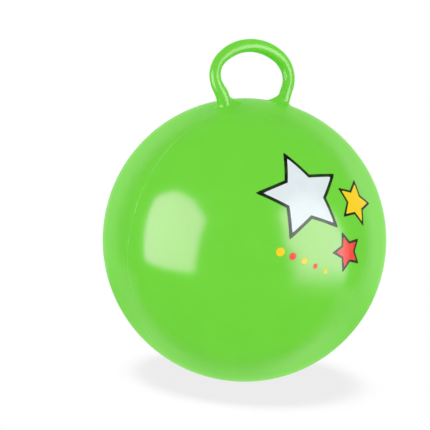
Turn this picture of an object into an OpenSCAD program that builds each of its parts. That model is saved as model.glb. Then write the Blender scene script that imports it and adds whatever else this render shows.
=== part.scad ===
// Hopper ball: an inflated vinyl ball with a loop handle, a push-in valve plug and a printed front.
// Millimetres. +Z is up, the print faces -Y, the valve faces +Y and the loop spans X.
// The origin is the middle of the flat patch that the ball stands on.

/* [Ball] */
// Outside diameter of the inflated ball
ball_d = 454; // [400:1:600]
// Thickness of the vinyl skin
skin_wall = 1; // [0.8:0.1:3]
// Radius of the flat patch that the ball stands on
patch_r = 30; // [20:1:45]
// Width of the bead that the mould leaves round the ball
seam_w = 1.6; // [1.2:0.1:3]
// Height of that bead above the skin
seam_h = 0.3; // [0.2:0.05:0.5]

/* [Handle] */
// Diameter of the grip
grip_d = 19; // [15:0.5:24]
// Wall of the hollow grip
grip_wall = 3.5; // [2:0.25:5]
// Rise of the loop's centreline above the crown of the ball
grip_rise = 88.5; // [80:0.5:110]
// Radius of the loop's top arc
top_r = 90; // [70:1:120]
// Half angle of the loop's top arc
top_angle = 36; // [25:1:42]
// Radius of the loop's shoulders
shoulder_r = 41; // [32:1:48]
// Turn of the loop from the middle of its top to its legs
leg_angle = 119; // [108:1:124]
// Backward lean of the loop
rake = 18; // [0:1:25]
// Flex of the loop to either side of its lean
flex = 25; // [10:1:30]

/* [Handle roots] */
// Thickness of a root round the end of a leg
root_wall = 2.5; // [1.5:0.1:5]
// Radius of the fillet where a root spreads on to the ball
root_fillet = 9; // [5:0.5:14]
// Thickness of a root's edge on the ball
root_edge = 0.5; // [0.3:0.1:1.5]
// Depth of a root's saddle below the crown of the ball
saddle_drop = 2.4; // [0:0.1:3]
// Diameter of the air passage from the ball into the grip
passage_d = 8; // [4:0.5:10]

/* [Valve] */
// Diameter of the valve seat where it passes the skin
seat_d = 24; // [20:0.5:32]
// Length of the valve seat from the ball's surface inwards
seat_len = 16; // [12:0.5:24]
// Overhang of the lip outside the skin
lip_over = 2; // [1:0.25:4]
// Height of the lip above the ball's surface
lip_h = 1; // [0.8:0.1:2]
// Overhang of the flange inside the skin
flange_over = 5; // [3:0.5:8]
// Thickness of the flange inside the skin
flange_t = 2; // [1:0.25:4]
// Diameter of the plug's head
head_d = 14.8; // [12:0.2:17]
// Thickness of the plug's head
head_t = 2.4; // [1.5:0.1:3.5]
// Diameter of the plug's stem under its head
stem_d = 8.4; // [6:0.1:10]
// Taper of the stem, as the loss of diameter along it
stem_taper = 1.2; // [0.6:0.1:2]
// Length of the plug's stem
stem_len = 18; // [14:0.5:26]
// Width of the thumbnail notch beside the plug's head
notch_d = 7; // [4:0.5:9]

/* [Print] */
// Height of the print's middle above the ball's equator, as an angle
print_tilt = 24; // [10:1:35]
// Thickness of the ink
ink_t = 0.25; // [0.15:0.05:0.5]
// Tip radius of the large star
large_star_r = 64; // [48:1:72]
// Tip radius of the middle star
middle_star_r = 32; // [25:1:40]
// Tip radius of the small star
small_star_r = 24; // [18:1:30]
// Width of the outline round the large star
large_outline = 5; // [3:0.25:6]
// Width of the outline round the other stars
outline = 3.6; // [2:0.2:4.5]
// Gap between the outlines of neighbouring stars
star_gap = 7; // [4:0.5:12]
// Diameter of the first and largest dot in the row of dots
dot_d = 13; // [8:0.5:16]
// Gap between the dots, were they all as large as the first
dot_gap = 8; // [4:0.5:12]

/* [Fits] */
// Gap at a bonded face
bond = 0.1; // [0.05:0.01:0.2]
// Gap between the skin and the ink
ink_gap = 0.2; // [0.1:0.05:0.3]
// Gap round the moving end of a leg
leg_gap = 0.3; // [0.2:0.05:0.6]
// Gap round the plug's stem
plug_gap = 0.05; // [0.03:0.01:0.1]

/* [Hidden] */
$fn = 160;

vinyl = "#62d32c";
plug_white = "#f2f2ee";
ink_white = "#eef3f6";
ink_yellow = "#f7d324";
ink_red = "#f2463f";
ink_black = "#15151a";

// Ball
ball_r = ball_d / 2;
void_r = ball_r - skin_wall;
centre_h = sqrt(ball_r * ball_r - patch_r * patch_r);
far = 2 * ball_d;

// Loop of the handle, in its own upright plane, with heights from the ball's centre
grip_r = grip_d / 2;
bore_r = grip_r - grip_wall;
top_h = ball_r + grip_rise;
shoulder_u = (top_r - shoulder_r) * sin(top_angle);
shoulder_h = top_h - top_r + (top_r - shoulder_r) * cos(top_angle);
leg_u = shoulder_u + shoulder_r * sin(leg_angle);
leg_h = shoulder_h + shoulder_r * cos(leg_angle);

// Swell of the shoulders, and how far the top and the legs run on inside them
swell = 0.05;
run_on = 1.2;
top_reach = top_angle + run_on * 180 / (PI * top_r);

// Rounded end of a leg, and the saddle that it turns in
end_spare = 0.6;
end_r = grip_r + end_spare;
saddle_r = end_r + leg_gap;
hinge_h = ball_r - saddle_drop + saddle_r;
leg_len = (leg_h - hinge_h) / sin(leg_angle);
hinge_u = leg_u + leg_len * cos(leg_angle);
rim_spare = 1;
rim_drop = end_r * sin(flex) + rim_spare;

// Roots, each on the ball's own radius through the end of its leg
root_angle = atan2(hinge_u, hinge_h);
root_reach = norm([hinge_u, hinge_h]);
neck_r = end_r + root_wall;
root_r = neck_r + root_fillet;
root_foot = sqrt(ball_r * ball_r - root_r * root_r);

// Valve, with heights from the ball's centre along the valve's axis
seat_r = seat_d / 2;
seat_top = ball_r + lip_h;
seat_end = ball_r - seat_len;
lip_r = seat_r + lip_over;
lip_foot = sqrt(ball_r * ball_r - seat_r * seat_r) + bond;
lip_round = (seat_top - lip_foot) / 2;
flange_r = seat_r + flange_over;
flange_top = sqrt(void_r * void_r - flange_r * flange_r) - bond;
recess_gap = 0.2;
head_r = head_d / 2;
recess_r = head_r + recess_gap;
head_foot = seat_top - head_t;
head_round = head_t / 3;
dish_r = head_d;
dish_depth = head_t / 4;
stem_r = stem_d / 2;
tip_bevel = 1;
notch_depth = 1.6;

// Print, in its own plane, seen from the front: the other stars and the dots lie round the large star
star_points = 5;
star_waist = 0.5;
half_point = 180 / star_points;
edge_share = star_waist * sin(half_point) / norm([1 - star_waist * cos(half_point), star_waist * sin(half_point)]);
large_tip = large_star_r + large_outline / edge_share;
middle_tip = middle_star_r + outline / edge_share;
small_tip = small_star_r + outline / edge_share;
star_nest = 16;
large_star_at = [-30, 24];
large_star_turn = 8;
middle_star_at = large_star_at + (large_tip + middle_tip - star_nest) * along(-8);
middle_star_turn = -18;
small_star_at = large_star_at + (large_tip + small_tip + star_gap) * along(-52);
small_star_turn = 20;
dot_count = 5;
dot_shrink = 0.84;
dot_from = large_star_at + (large_tip + dot_d / 2 + 2 * star_gap) * along(239);
dot_step = (dot_d + dot_gap) * along(-25);

// Unit vector at a given angle above +X
function along(angle) = [cos(angle), sin(angle)];

// Places its children at the ball's centre
module at_centre() {
    translate([0, 0, centre_h]) children();
}

// Turns its children from +Z to the valve's axis, with the ball's centre as their origin
module on_valve_axis() {
    at_centre() rotate([-90, 0, 0]) children();
}

// Turns its children from +Z to the middle of the print, with the ball's centre as their origin
module on_print_axis() {
    at_centre() rotate([90 - print_tilt, 0, 0]) children();
}

// Leans its children back about the axis that the loop flexes on
module raked() {
    at_centre() translate([0, 0, hinge_h]) rotate([-rake, 0, 0]) translate([0, 0, -hinge_h]) children();
}

// Ball of a given radius with its poles to the front and the back
module ball(r) {
    rotate([90, 0, 0]) sphere(r, $fn = 256);
}

// Bead on the plane of the loop, grown by a given gap
module seam_bead(gap = 0) {
    rotate([90, 0, 0]) rotate_extrude() translate([ball_r + seam_h - seam_w / 2, 0]) circle(d = seam_w + 2 * gap);
}

// Everything below a given height from the ball's centre
module below(h) {
    translate([-far / 2, -far / 2, h - far]) cube(far);
}

// Air passage of the right root
module passage() {
    rotate([0, root_angle, 0]) translate([0, 0, void_r - root_fillet])
        cylinder(d = passage_d, h = root_reach - void_r + root_fillet);
}

// Hollow vinyl ball with its seam bead, its flat patch and its openings
module ball_skin() {
    color(vinyl) difference() {
        at_centre() difference() {
            union() {
                ball(ball_r);
                seam_bead();
            }
            below(-centre_h);
            difference() {
                ball(void_r);
                below(skin_wall - centre_h);
            }
            passage();
            mirror([1, 0, 0]) passage();
        }
        on_valve_axis() translate([0, 0, seat_end]) cylinder(r = seat_r + bond, h = far);
    }
}

// Blank of the right root: a neck that spreads on to the ball in a fillet
module root_blank() {
    sunk = root_fillet;
    rotate([0, root_angle, 0]) rotate_extrude() {
        translate([0, root_foot - sunk]) square([neck_r, root_reach - root_foot + sunk]);
        difference() {
            translate([0, root_foot - sunk]) square([root_r, sunk + root_edge + root_fillet]);
            translate([root_r, root_foot + root_edge + root_fillet]) circle(root_fillet);
        }
    }
}

// Right root: the blank seated on the ball, with the saddle for the leg's end and its air passage
module handle_root() {
    color(vinyl) difference() {
        at_centre() difference() {
            root_blank();
            ball(ball_r + bond);
            seam_bead(bond);
            passage();
            translate([0, 0, hinge_h]) rotate([0, 90, 0]) cylinder(r = saddle_r, h = far);
        }
        raked() translate([-far / 2, -far / 2, hinge_h - rim_drop]) cube(far);
    }
}

// Arc of the grip's wall in the loop's plane, from one angle above +X to another, swollen by a given amount
module grip_arc(u, h, r, from, to, grow = 0) {
    translate([u, 0, h]) rotate([90, 0, 0]) rotate([0, 0, from]) rotate_extrude(angle = to - from)
        translate([r, 0]) difference() {
            circle(grip_r + grow);
            circle(bore_r - grow);
        }
}

// Right shoulder and leg of the loop, with the leg's end left long
module loop_side() {
    grip_arc(shoulder_u, shoulder_h, shoulder_r, 90 - leg_angle, 90 - top_angle, swell);
    translate([leg_u, 0, leg_h]) rotate([0, 90 + leg_angle, 0]) translate([0, 0, -run_on]) difference() {
        cylinder(r = grip_r, h = run_on + leg_len + 2 * grip_d);
        translate([0, 0, -grip_d]) cylinder(r = bore_r, h = run_on + leg_len + 4 * grip_d);
    }
}

// What is cut from the legs to leave their ends round about the flex axis
module leg_end_cut() {
    difference() {
        below(hinge_h);
        translate([-far / 2, 0, hinge_h]) rotate([0, 90, 0]) cylinder(r = end_r, h = far);
    }
}

// Hollow loop of the grip, leaning back
module handle_loop() {
    color(vinyl) raked() difference() {
        union() {
            grip_arc(0, top_h - top_r, top_r, 90 - top_reach, 90 + top_reach);
            loop_side();
            mirror([1, 0, 0]) loop_side();
        }
        leg_end_cut();
    }
}

// What is cut from a profile to round its upper outer corner
module corner_cut(r, top, round) {
    translate([r - round, top - round]) difference() {
        square(2 * round);
        circle(round);
    }
}

// Radius of the plug's stem at a given height, grown by a given gap
function stem_at(h, gap = 0) = stem_r + gap - stem_taper / 2 * (head_foot - h) / stem_len;

// Valve seat bonded in the skin: lip, sleeve and inside flange, with a recess and a tapered bore for the plug
module valve_seat() {
    bore_top = head_foot - plug_gap;
    color(vinyl) on_valve_axis() difference() {
        rotate_extrude() difference() {
            polygon([
                [stem_at(seat_end, plug_gap), seat_end],
                [seat_r, seat_end],
                [seat_r, flange_top - flange_t],
                [flange_r, flange_top - flange_t],
                [flange_r, flange_top],
                [seat_r, flange_top],
                [seat_r, lip_foot],
                [lip_r, lip_foot],
                [lip_r, seat_top],
                [recess_r, seat_top],
                [recess_r, bore_top],
                [stem_at(bore_top, plug_gap), bore_top]
            ]);
            corner_cut(lip_r, seat_top, lip_round);
        }
        translate([0, recess_r, seat_top - notch_depth]) cylinder(d = notch_d, h = far);
    }
}

// Push-in plug: a dished head on a tapered stem with a bevelled tip
module valve_plug() {
    tip = head_foot - stem_len;
    color(plug_white) on_valve_axis() difference() {
        rotate_extrude() difference() {
            polygon([
                [0, tip],
                [stem_at(tip) - tip_bevel, tip],
                [stem_at(tip + tip_bevel), tip + tip_bevel],
                [stem_r, head_foot],
                [head_r, head_foot],
                [head_r, seat_top],
                [0, seat_top]
            ]);
            corner_cut(head_r, seat_top, head_round);
        }
        translate([0, 0, seat_top - dish_depth + dish_r]) sphere(dish_r);
    }
}

// Flat star with a given tip radius
module star(tip_r) {
    polygon([for (i = [0 : 2 * star_points - 1]) (i % 2 == 0 ? 1 : star_waist) * tip_r * along(90 + i * half_point)]);
}

// Places its children as one of the stars
module at_star(place, turn) {
    translate(place) rotate(turn) children();
}

// Outline of a star, from the tip radius of its fill to its own
module star_outline(fill_r, tip_r) {
    difference() {
        star(tip_r);
        star(fill_r);
    }
}

// Every second dot of a row that shrinks along its length, from a given one
module dots(first) {
    for (i = [first : 2 : dot_count - 1])
        translate(dot_from + i * dot_step) circle(d = dot_d * pow(dot_shrink, i));
}

// Film of ink on the ball, in the shape of its flat children seen from the front
module ink_film() {
    on_print_axis() intersection() {
        translate([0, 0, ball_r / 2]) linear_extrude(height = ball_r) children();
        difference() {
            rotate([0, 90, 0]) sphere(ball_r + ink_gap + ink_t);
            rotate([0, 90, 0]) sphere(ball_r + ink_gap);
        }
    }
}

module print_white() {
    color(ink_white) ink_film() at_star(large_star_at, large_star_turn) star(large_star_r);
}

module print_yellow() {
    color(ink_yellow) ink_film() {
        at_star(middle_star_at, middle_star_turn) star(middle_star_r);
        dots(0);
    }
}

module print_red() {
    color(ink_red) ink_film() {
        at_star(small_star_at, small_star_turn) star(small_star_r);
        dots(1);
    }
}

module print_black() {
    color(ink_black) ink_film() {
        at_star(large_star_at, large_star_turn) star_outline(large_star_r, large_tip);
        at_star(middle_star_at, middle_star_turn) star_outline(middle_star_r, middle_tip);
        at_star(small_star_at, small_star_turn) star_outline(small_star_r, small_tip);
    }
}

ball_skin();
mirror([1, 0, 0]) handle_root();  // left_handle_root
handle_root();  // right_handle_root
handle_loop();
valve_seat();
valve_plug();
print_white();
print_yellow();
print_red();
print_black();
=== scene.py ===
"""Hopper ball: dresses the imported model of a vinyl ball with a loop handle, and lights it in a studio.

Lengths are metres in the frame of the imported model: +Z is up, the print faces -Y, the valve faces +Y and
the ball rests on z = 0. A length called "out" is measured from the centre of the ball.
"""

import math
from collections import namedtuple

import bpy
import numpy as np
from bpy.props import FloatProperty, FloatVectorProperty, IntProperty, PointerProperty
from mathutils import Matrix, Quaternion, Vector


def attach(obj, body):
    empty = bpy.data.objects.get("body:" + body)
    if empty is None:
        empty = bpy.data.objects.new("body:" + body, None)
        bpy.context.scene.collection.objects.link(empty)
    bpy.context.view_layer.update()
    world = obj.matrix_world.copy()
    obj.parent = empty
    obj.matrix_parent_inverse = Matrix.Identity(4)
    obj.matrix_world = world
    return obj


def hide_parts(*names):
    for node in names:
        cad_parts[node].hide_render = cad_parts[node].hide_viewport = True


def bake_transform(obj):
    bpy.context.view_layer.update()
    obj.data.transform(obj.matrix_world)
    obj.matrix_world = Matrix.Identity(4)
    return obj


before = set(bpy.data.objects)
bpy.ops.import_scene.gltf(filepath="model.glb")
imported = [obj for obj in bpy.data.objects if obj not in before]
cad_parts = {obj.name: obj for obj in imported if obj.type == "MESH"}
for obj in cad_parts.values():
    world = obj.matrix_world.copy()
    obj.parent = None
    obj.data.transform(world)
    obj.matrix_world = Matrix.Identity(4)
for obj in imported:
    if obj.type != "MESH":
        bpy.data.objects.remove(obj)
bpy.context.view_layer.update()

bl_info = {
    "name": "Hopper Ball",
    "version": (1, 0, 0),
    "blender": (4, 5, 0),
    "location": "3D View > Sidebar > Hopper Ball",
    "description": "Dresses a packed hopper ball in vinyl, print and valve, and lights it in a studio",
    "category": "Add Mesh",
}


# Settings

def length(name, text, value):
    """Property for a length in metres."""
    return FloatProperty(name=name, description=text, default=value, min=0.0, precision=5, unit="LENGTH")


def angle(name, text, degrees):
    """Property for an angle, with its default in degrees."""
    return FloatProperty(name=name, description=text, default=math.radians(degrees), unit="ROTATION")


def colour(name, text, value):
    """Property for a linear colour."""
    return FloatVectorProperty(name=name, description=text, default=(*value, 1.0), size=4, min=0.0, max=1.0,
                               subtype="COLOR")


def number(name, text, value):
    """Property for a plain number."""
    return FloatProperty(name=name, description=text, default=value, min=0.0)


def place(name, text, value):
    """Property for a point of the flat print."""
    return FloatVectorProperty(name=name, description=text, default=value, size=2, precision=5,
                               unit="LENGTH")


class HOPPER_PG_ball(bpy.types.PropertyGroup):
    """Sizes of the ball skin."""

    radius: length("Radius", "Radius of the inflated ball", 0.227)
    patch_radius: length("Rest patch", "Radius of the flat patch that the ball rests on", 0.030)
    wall: length("Wall", "Thickness of the skin", 0.001)
    seam_width: length("Seam width", "Width of the moulded bead round the ball", 0.0016)
    seam_height: length("Seam height", "Mean height of the moulded bead", 0.00005)
    seam_offset: length("Seam offset", "Shift of the bead's plane towards the print", 0.009)
    valve_hole: length("Valve hole", "Radius of the hole for the valve seat", 0.0121)

    def centre_height(self):
        """Height of the ball's centre over the floor."""
        return math.sqrt(self.radius ** 2 - self.patch_radius ** 2)


class HOPPER_PG_handle(bpy.types.PropertyGroup):
    """Sizes of the loop handle and its feet."""

    grip_radius: length("Grip radius", "Radius of the grip at the legs", 0.0095)
    top_out: length("Top", "Middle of the top bar, out from the ball's centre", 0.3150)
    top_radius: length("Top bend", "Radius of the bend along the top bar", 0.090)
    top_angle: angle("Top sweep", "Half of the angle that the top bar sweeps", 36)
    shoulder_radius: length("Shoulder bend", "Radius of the bend at each shoulder", 0.041)
    leg_angle: angle("Leg turn", "Angle at which each shoulder runs into its leg", 119)
    hinge_out: length("Flex line", "Height of the flex line, out from the ball's centre", 0.235)
    rake: angle("Rake", "Lean of the loop towards the valve", 18)
    foot_side: length("Foot side", "Distance of each foot from the middle plane", 0.0555)
    sway: length("Sway", "Shift of the whole loop to the left", 0.0016)
    fillet_height: length("Fillet height", "Height of the fillet round a foot", 0.0060)
    fillet_reach: length("Fillet reach", "Reach of the fillet round a foot", 0.0060)
    web_height: length("Web height", "Height of the web on the inner side of a foot", 0.0155)
    web_reach: length("Web reach", "Reach of the web on the inner side of a foot", 0.0220)
    sides: IntProperty(name="Sides", description="Faces round the grip", default=64, min=12)


class HOPPER_PG_print(bpy.types.PropertyGroup):
    """Layout of the printed stars and dots, as a flat sheet seen from the front."""

    tilt: angle("Tilt", "Angle of the print's axis over the level", 24)
    lift: length("Lift", "Gap under the ink, so that it lies on the skin", 0.00006)
    film: length("Film", "Thickness of the ink", 0.00022)
    waist: number("Waist", "Inner radius of a star as a share of its tip radius", 0.5)
    tip_round: length("Tip rounding", "Amount by which the tips are rounded off", 0.0012)
    large_star: length("Large star", "Tip radius of the large star's fill", 0.064)
    large_edge: length("Large star's edge", "Tip radius of the large star's outline", 0.07530)
    large_place: place("Large star's place", "Centre of the large star", (-0.030, 0.024))
    large_turn: angle("Large star's turn", "Turn of the large star", 8)
    middle_star: length("Middle star", "Tip radius of the middle star's fill", 0.032)
    middle_edge: length("Middle star's edge", "Tip radius of the middle star's outline", 0.04013)
    middle_place: place("Middle star's place", "Centre of the middle star", (0.06846, 0.01016))
    middle_turn: angle("Middle star's turn", "Turn of the middle star", -18)
    small_star: length("Small star", "Tip radius of the small star's fill", 0.024)
    small_edge: length("Small star's edge", "Tip radius of the small star's outline", 0.03213)
    small_place: place("Small star's place", "Centre of the small star", (0.04045, -0.06617))
    small_turn: angle("Small star's turn", "Turn of the small star", 20)
    dot_count: IntProperty(name="Dots", description="Dots in the row", default=5, min=0)
    dot_diameter: length("Dot", "Diameter of the first dot", 0.013)
    dot_share: number("Dot share", "Size of each dot as a share of the one before", 0.84)
    dot_place: place("First dot", "Centre of the first dot", (-0.07934, -0.05812))
    dot_step: place("Dot step", "Step from one dot to the next", (0.01903, -0.008875))


class HOPPER_PG_valve(bpy.types.PropertyGroup):
    """Sizes of the valve seat and its plug."""

    lip_radius: length("Lip", "Radius of the lip on the skin", 0.014)
    lip_height: length("Lip height", "Height of the lip over the skin", 0.001)
    seat_radius: length("Seat", "Radius of the seat's sleeve", 0.012)
    seat_length: length("Seat length", "Length of the sleeve inside the ball", 0.016)
    flange_radius: length("Flange", "Radius of the flange inside the skin", 0.017)
    flange: length("Flange thickness", "Thickness of the flange", 0.002)
    recess_radius: length("Recess", "Radius of the recess for the plug's head", 0.0076)
    notch_radius: length("Notch", "Radius of the thumbnail notch beside the head", 0.0035)
    notch_depth: length("Notch depth", "Depth of the thumbnail notch", 0.0016)
    head_radius: length("Head", "Radius of the plug's head", 0.0074)
    head: length("Head thickness", "Thickness of the plug's head", 0.0024)
    stem_radius: length("Stem", "Radius of the stem under the head", 0.0042)
    stem_end: length("Stem end", "Radius of the stem at its tip", 0.0036)
    stem: length("Stem length", "Length of the stem", 0.018)


class HOPPER_PG_finish(bpy.types.PropertyGroup):
    """Colours of the vinyl, the inks and the plug, with the tint of a painted highlight along the mould
    lines.
    """

    vinyl: colour("Vinyl", "Green of the ball and handle", (0.162, 0.700, 0.041))
    # Painted highlight: a pale tint laid into the colour along each mould line, standing in for the glint of
    # its moulded bead
    painted_seam_glint: colour("Vinyl, pale", "Stretched vinyl along the seam", (0.420, 0.800, 0.260))
    vinyl_glare: colour("Vinyl's glare", "Tint of the lamps that the vinyl reflects", (1.0, 0.22, 0.84))
    white: colour("White ink", "Fill of the large star", (0.740, 0.800, 0.840))
    yellow: colour("Yellow ink", "Fill of the middle star and some dots", (0.950, 0.640, 0.008))
    red: colour("Red ink", "Fill of the small star and some dots", (0.900, 0.040, 0.040))
    black: colour("Black ink", "Outlines of the stars", (0.006, 0.006, 0.007))
    plug: colour("Plug", "Soft white plastic of the plug", (0.780, 0.790, 0.760))
    dust: colour("Dust", "Fine lint on the surface", (0.720, 0.760, 0.640))


class HOPPER_PG_studio(bpy.types.PropertyGroup):
    """Camera, lamps and floor."""

    azimuth: angle("Azimuth", "Camera's turn about the ball, zero in front of the print", -35.14)
    elevation: angle("Elevation", "Camera's angle over the level", 11.57)
    roll: angle("Roll", "Camera's turn about its own axis", 4.33)
    distance: length("Distance", "Camera's distance from the ball's centre", 5.0)
    lens: number("Lens", "Focal length in millimetres", 261.3)
    aim: FloatVectorProperty(name="Aim", size=2, default=(244.44, 239.92),
                             description="Ball's centre in the picture, in pixels of 430")
    softbox_distance: length("Softbox distance", "Distance of the softboxes from the ball", 1.6)
    softbox_tint: colour("Softbox tint", "Colour of the softboxes' cloth", (0.93, 0.97, 1.0))
    left_glow: number("Left softbox", "Brightness of the left softbox in the gloss", 8.4)
    right_glow: number("Right softbox", "Brightness of the right softbox in the gloss", 8.6)
    fill: number("Fill", "Strength of the room's light on the object", 1.11)
    wall: number("Back wall", "Brightness of the wall behind the ball, as its gloss shows it", 2.15)
    wall_tint: colour("Wall tint", "Colour of the room, as its gloss shows it", (1.0, 0.80, 0.90))
    room: number("Room", "Brightness of the rest of the room, as its gloss shows it", 0.12)
    ceiling: number("Ceiling", "Brightness of the ceiling as a share of the walls", 0.85)
    table: length("Table", "Radius of the table top that the gloss shows", 0.60)
    table_glow: number("Table glow", "Brightness of the table top, as the gloss shows it", 1.75)
    shadow: number("Shadow", "Brightness of the floor where the ball keeps the room's light off it", 0.84)
    floor_light: number("Floor light", "Light that the floor throws back at the object", 1.00)


class HOPPER_PG_settings(bpy.types.PropertyGroup):
    """All settings of the hopper ball."""

    ball: PointerProperty(type=HOPPER_PG_ball)
    handle: PointerProperty(type=HOPPER_PG_handle)
    print_sheet: PointerProperty(type=HOPPER_PG_print)
    valve: PointerProperty(type=HOPPER_PG_valve)
    finish: PointerProperty(type=HOPPER_PG_finish)
    studio: PointerProperty(type=HOPPER_PG_studio)


# Node trees

class NodeBoard:
    """Adds nodes to a tree and joins them. An input is a plain value or another node's socket."""

    def __init__(self, tree):
        self.tree = tree

    def node(self, kind, *values, named=None, **settings):
        """New node with its settings and inputs; None leaves an input as it is."""
        node = self.tree.nodes.new(kind)
        count = len(self.tree.nodes)
        node.location = (220 * (count // 5), -240 * (count % 5))
        for key, value in settings.items():
            setattr(node, key, value)
        for key, value in [*enumerate(values), *(named or {}).items()]:
            if value is not None:
                self.feed(node.inputs[key], value)
        return node

    def add(self, kind, *values, out=0, named=None, **settings):
        """New node; returns one of its outputs."""
        return self.node(kind, *values, named=named, **settings).outputs[out]

    def feed(self, socket, value):
        """Joins a socket to another, or sets its value."""
        if isinstance(value, bpy.types.NodeSocket):
            self.tree.links.new(value, socket)
        else:
            socket.default_value = value

    def math(self, operation, *values, clamp=False):
        return self.add("ShaderNodeMath", *values, operation=operation, use_clamp=clamp)

    def plus(self, *values):
        return self.math("ADD", *values)

    def minus(self, *values):
        return self.math("SUBTRACT", *values)

    def times(self, *values):
        return self.math("MULTIPLY", *values)

    def vector(self, operation, *values):
        out = "Value" if operation in {"DOT_PRODUCT", "LENGTH"} else "Vector"
        return self.add("ShaderNodeVectorMath", *values, out=out, operation=operation)

    def dot(self, *vectors):
        return self.vector("DOT_PRODUCT", *vectors)

    def scale(self, vector, factor):
        return self.add("ShaderNodeVectorMath", vector, named={"Scale": factor}, operation="SCALE")

    def mix(self, factor, low, high):
        """Number between two others."""
        return self.add("ShaderNodeMix", factor, named={2: low, 3: high}, data_type="FLOAT")

    def tint(self, factor, low, high):
        """Colour between two others."""
        return self.add("ShaderNodeMix", factor, named={6: low, 7: high}, out=2, data_type="RGBA")

    def ramp(self, value, start, end, low=0.0, high=1.0):
        """Number that goes smoothly from low to high as a value goes from start to end."""
        return self.add("ShaderNodeMapRange", value, start, end, low, high, interpolation_type="SMOOTHSTEP")

    def noise(self, vector, scale, detail=2.0, roughness=0.5):
        return self.add("ShaderNodeTexNoise", vector, None, scale, detail, roughness)

    def group(self, tree, **values):
        """Places a shader group; returns its outputs."""
        named = {key.replace("_", " "): value for key, value in values.items()}
        return self.node("ShaderNodeGroup", named=named, node_tree=tree).outputs

    def capture(self, geometry, **fields):
        """Keeps fields, each a kind and a socket, on a geometry; returns it and them by name."""
        node = self.tree.nodes.new("GeometryNodeCaptureAttribute")
        for name, (kind, _) in fields.items():
            node.capture_items.new(kind, name)
        self.feed(node.inputs["Geometry"], geometry)
        for name, (_, field) in fields.items():
            self.feed(node.inputs[name], field)
        return node.outputs


def new_tree(kind, name, inputs, outputs):
    """New node group; returns its board, its inputs by name and the sockets of its output."""
    tree = bpy.data.node_groups.new(name, kind)
    for socket, form in inputs:
        tree.interface.new_socket(socket, in_out="INPUT", socket_type="NodeSocket" + form)
    for socket, form in outputs:
        tree.interface.new_socket(socket, in_out="OUTPUT", socket_type="NodeSocket" + form)
    board = NodeBoard(tree)
    return board, board.node("NodeGroupInput").outputs, board.node("NodeGroupOutput").inputs


def once(make):
    """Keeps the node group that a function makes, so that it is built once."""
    kept = []

    def made():
        if not kept:
            kept.append(make())
        return kept[0]
    return made


# Shared surface effects

@once
def skin_waves():
    """Slow waves of an inflated skin and the fine peel of its gloss, as a height in metres."""
    board, given, result = new_tree("ShaderNodeTree", "Skin waves", [
        ("Vector", "Vector"), ("Wave Scale", "Float"), ("Wave Height", "Float"), ("Peel Scale", "Float"),
        ("Peel Height", "Float")], [("Height", "Float")])
    waves = board.noise(given["Vector"], given["Wave Scale"], 1.0)
    peel = board.noise(given["Vector"], given["Peel Scale"], 2.0)
    low = board.times(waves, given["Wave Height"])
    board.feed(result["Height"], board.plus(low, board.times(peel, given["Peel Height"])))
    return board.tree


@once
def handling_marks():
    """Uneven tone, faint scuffs and fine lint, each from 0 to 1."""
    board, given, result = new_tree("ShaderNodeTree", "Handling marks", [
        ("Vector", "Vector"), ("Tone Scale", "Float"), ("Scuff Scale", "Float"), ("Lint Scale", "Float")],
        [("Tone", "Float"), ("Scuff", "Float"), ("Lint", "Float")])
    tone_range, hair_range, worn_range, lint_edge = (0.3, 0.7), (0.60, 0.72), (0.48, 0.66), (0.16, 0.06)
    hair_stretch, worn_scale, clean_share = (1.0, 7.0, 1.6), 11.0, 0.86
    tone = board.ramp(board.noise(given["Vector"], given["Tone Scale"], 3.0, 0.55), *tone_range)
    drawn = board.vector("MULTIPLY", given["Vector"], hair_stretch)
    hair = board.ramp(board.noise(drawn, given["Scuff Scale"], 4.0, 0.6), *hair_range)
    worn = board.ramp(board.noise(given["Vector"], worn_scale, 2.0), *worn_range)
    cells = board.node("ShaderNodeTexVoronoi", given["Vector"], named={"Scale": given["Lint Scale"]})
    chance = board.add("ShaderNodeSeparateColor", cells.outputs["Color"])
    chosen = board.math("GREATER_THAN", chance, clean_share)
    lint = board.times(board.ramp(cells.outputs["Distance"], *lint_edge), chosen)
    board.feed(result["Tone"], tone)
    board.feed(result["Scuff"], board.times(hair, worn))
    board.feed(result["Lint"], lint)
    return board.tree


@once
def mould_line():
    """Line that a mould leaves along a plane, broken here and there, from 0 to 1."""
    board, given, result = new_tree("ShaderNodeTree", "Mould line", [
        ("Vector", "Vector"), ("Across", "Vector"), ("Offset", "Float"), ("Half Width", "Float"),
        ("Break Scale", "Float")], [("Line", "Float")])
    along = board.dot(given["Vector"], given["Across"])
    away = board.math("ABSOLUTE", board.minus(along, given["Offset"]))
    share = board.math("DIVIDE", away, given["Half Width"])
    core, break_range, least = 0.25, (0.38, 0.60), 0.10
    kept = board.ramp(board.noise(given["Vector"], given["Break Scale"], 3.0), *break_range, least, 1.0)
    board.feed(result["Line"], board.times(board.ramp(share, 1.0, core), kept))
    return board.tree


# Materials

Gloss = namedtuple("Gloss", "roughness index fade_start rim_level rim_roughness")
# A mould line: across and offset give its plane, half_width its width, height its bump, and pale the share
# of painted highlight tinted along it
MouldLine = namedtuple("MouldLine", "across offset half_width height pale")

# Gloss of each finish, with the slant, 0 face on and 1 edge on, from which it fades towards the rim
BALL_GLOSS = Gloss(roughness=0.15, index=1.52, fade_start=0.36, rim_level=0.05, rim_roughness=0.46)
HANDLE_GLOSS = Gloss(roughness=0.22, index=1.46, fade_start=0.28, rim_level=0.00, rim_roughness=0.22)
SEAT_GLOSS = BALL_GLOSS._replace(roughness=0.20)
COLOUR_GLOSS = Gloss(roughness=0.19, index=1.30, fade_start=0.30, rim_level=0.03, rim_roughness=0.50)
WHITE_GLOSS = COLOUR_GLOSS._replace(index=1.26)
BLACK_GLOSS = COLOUR_GLOSS._replace(roughness=0.22, index=1.34)

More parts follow.
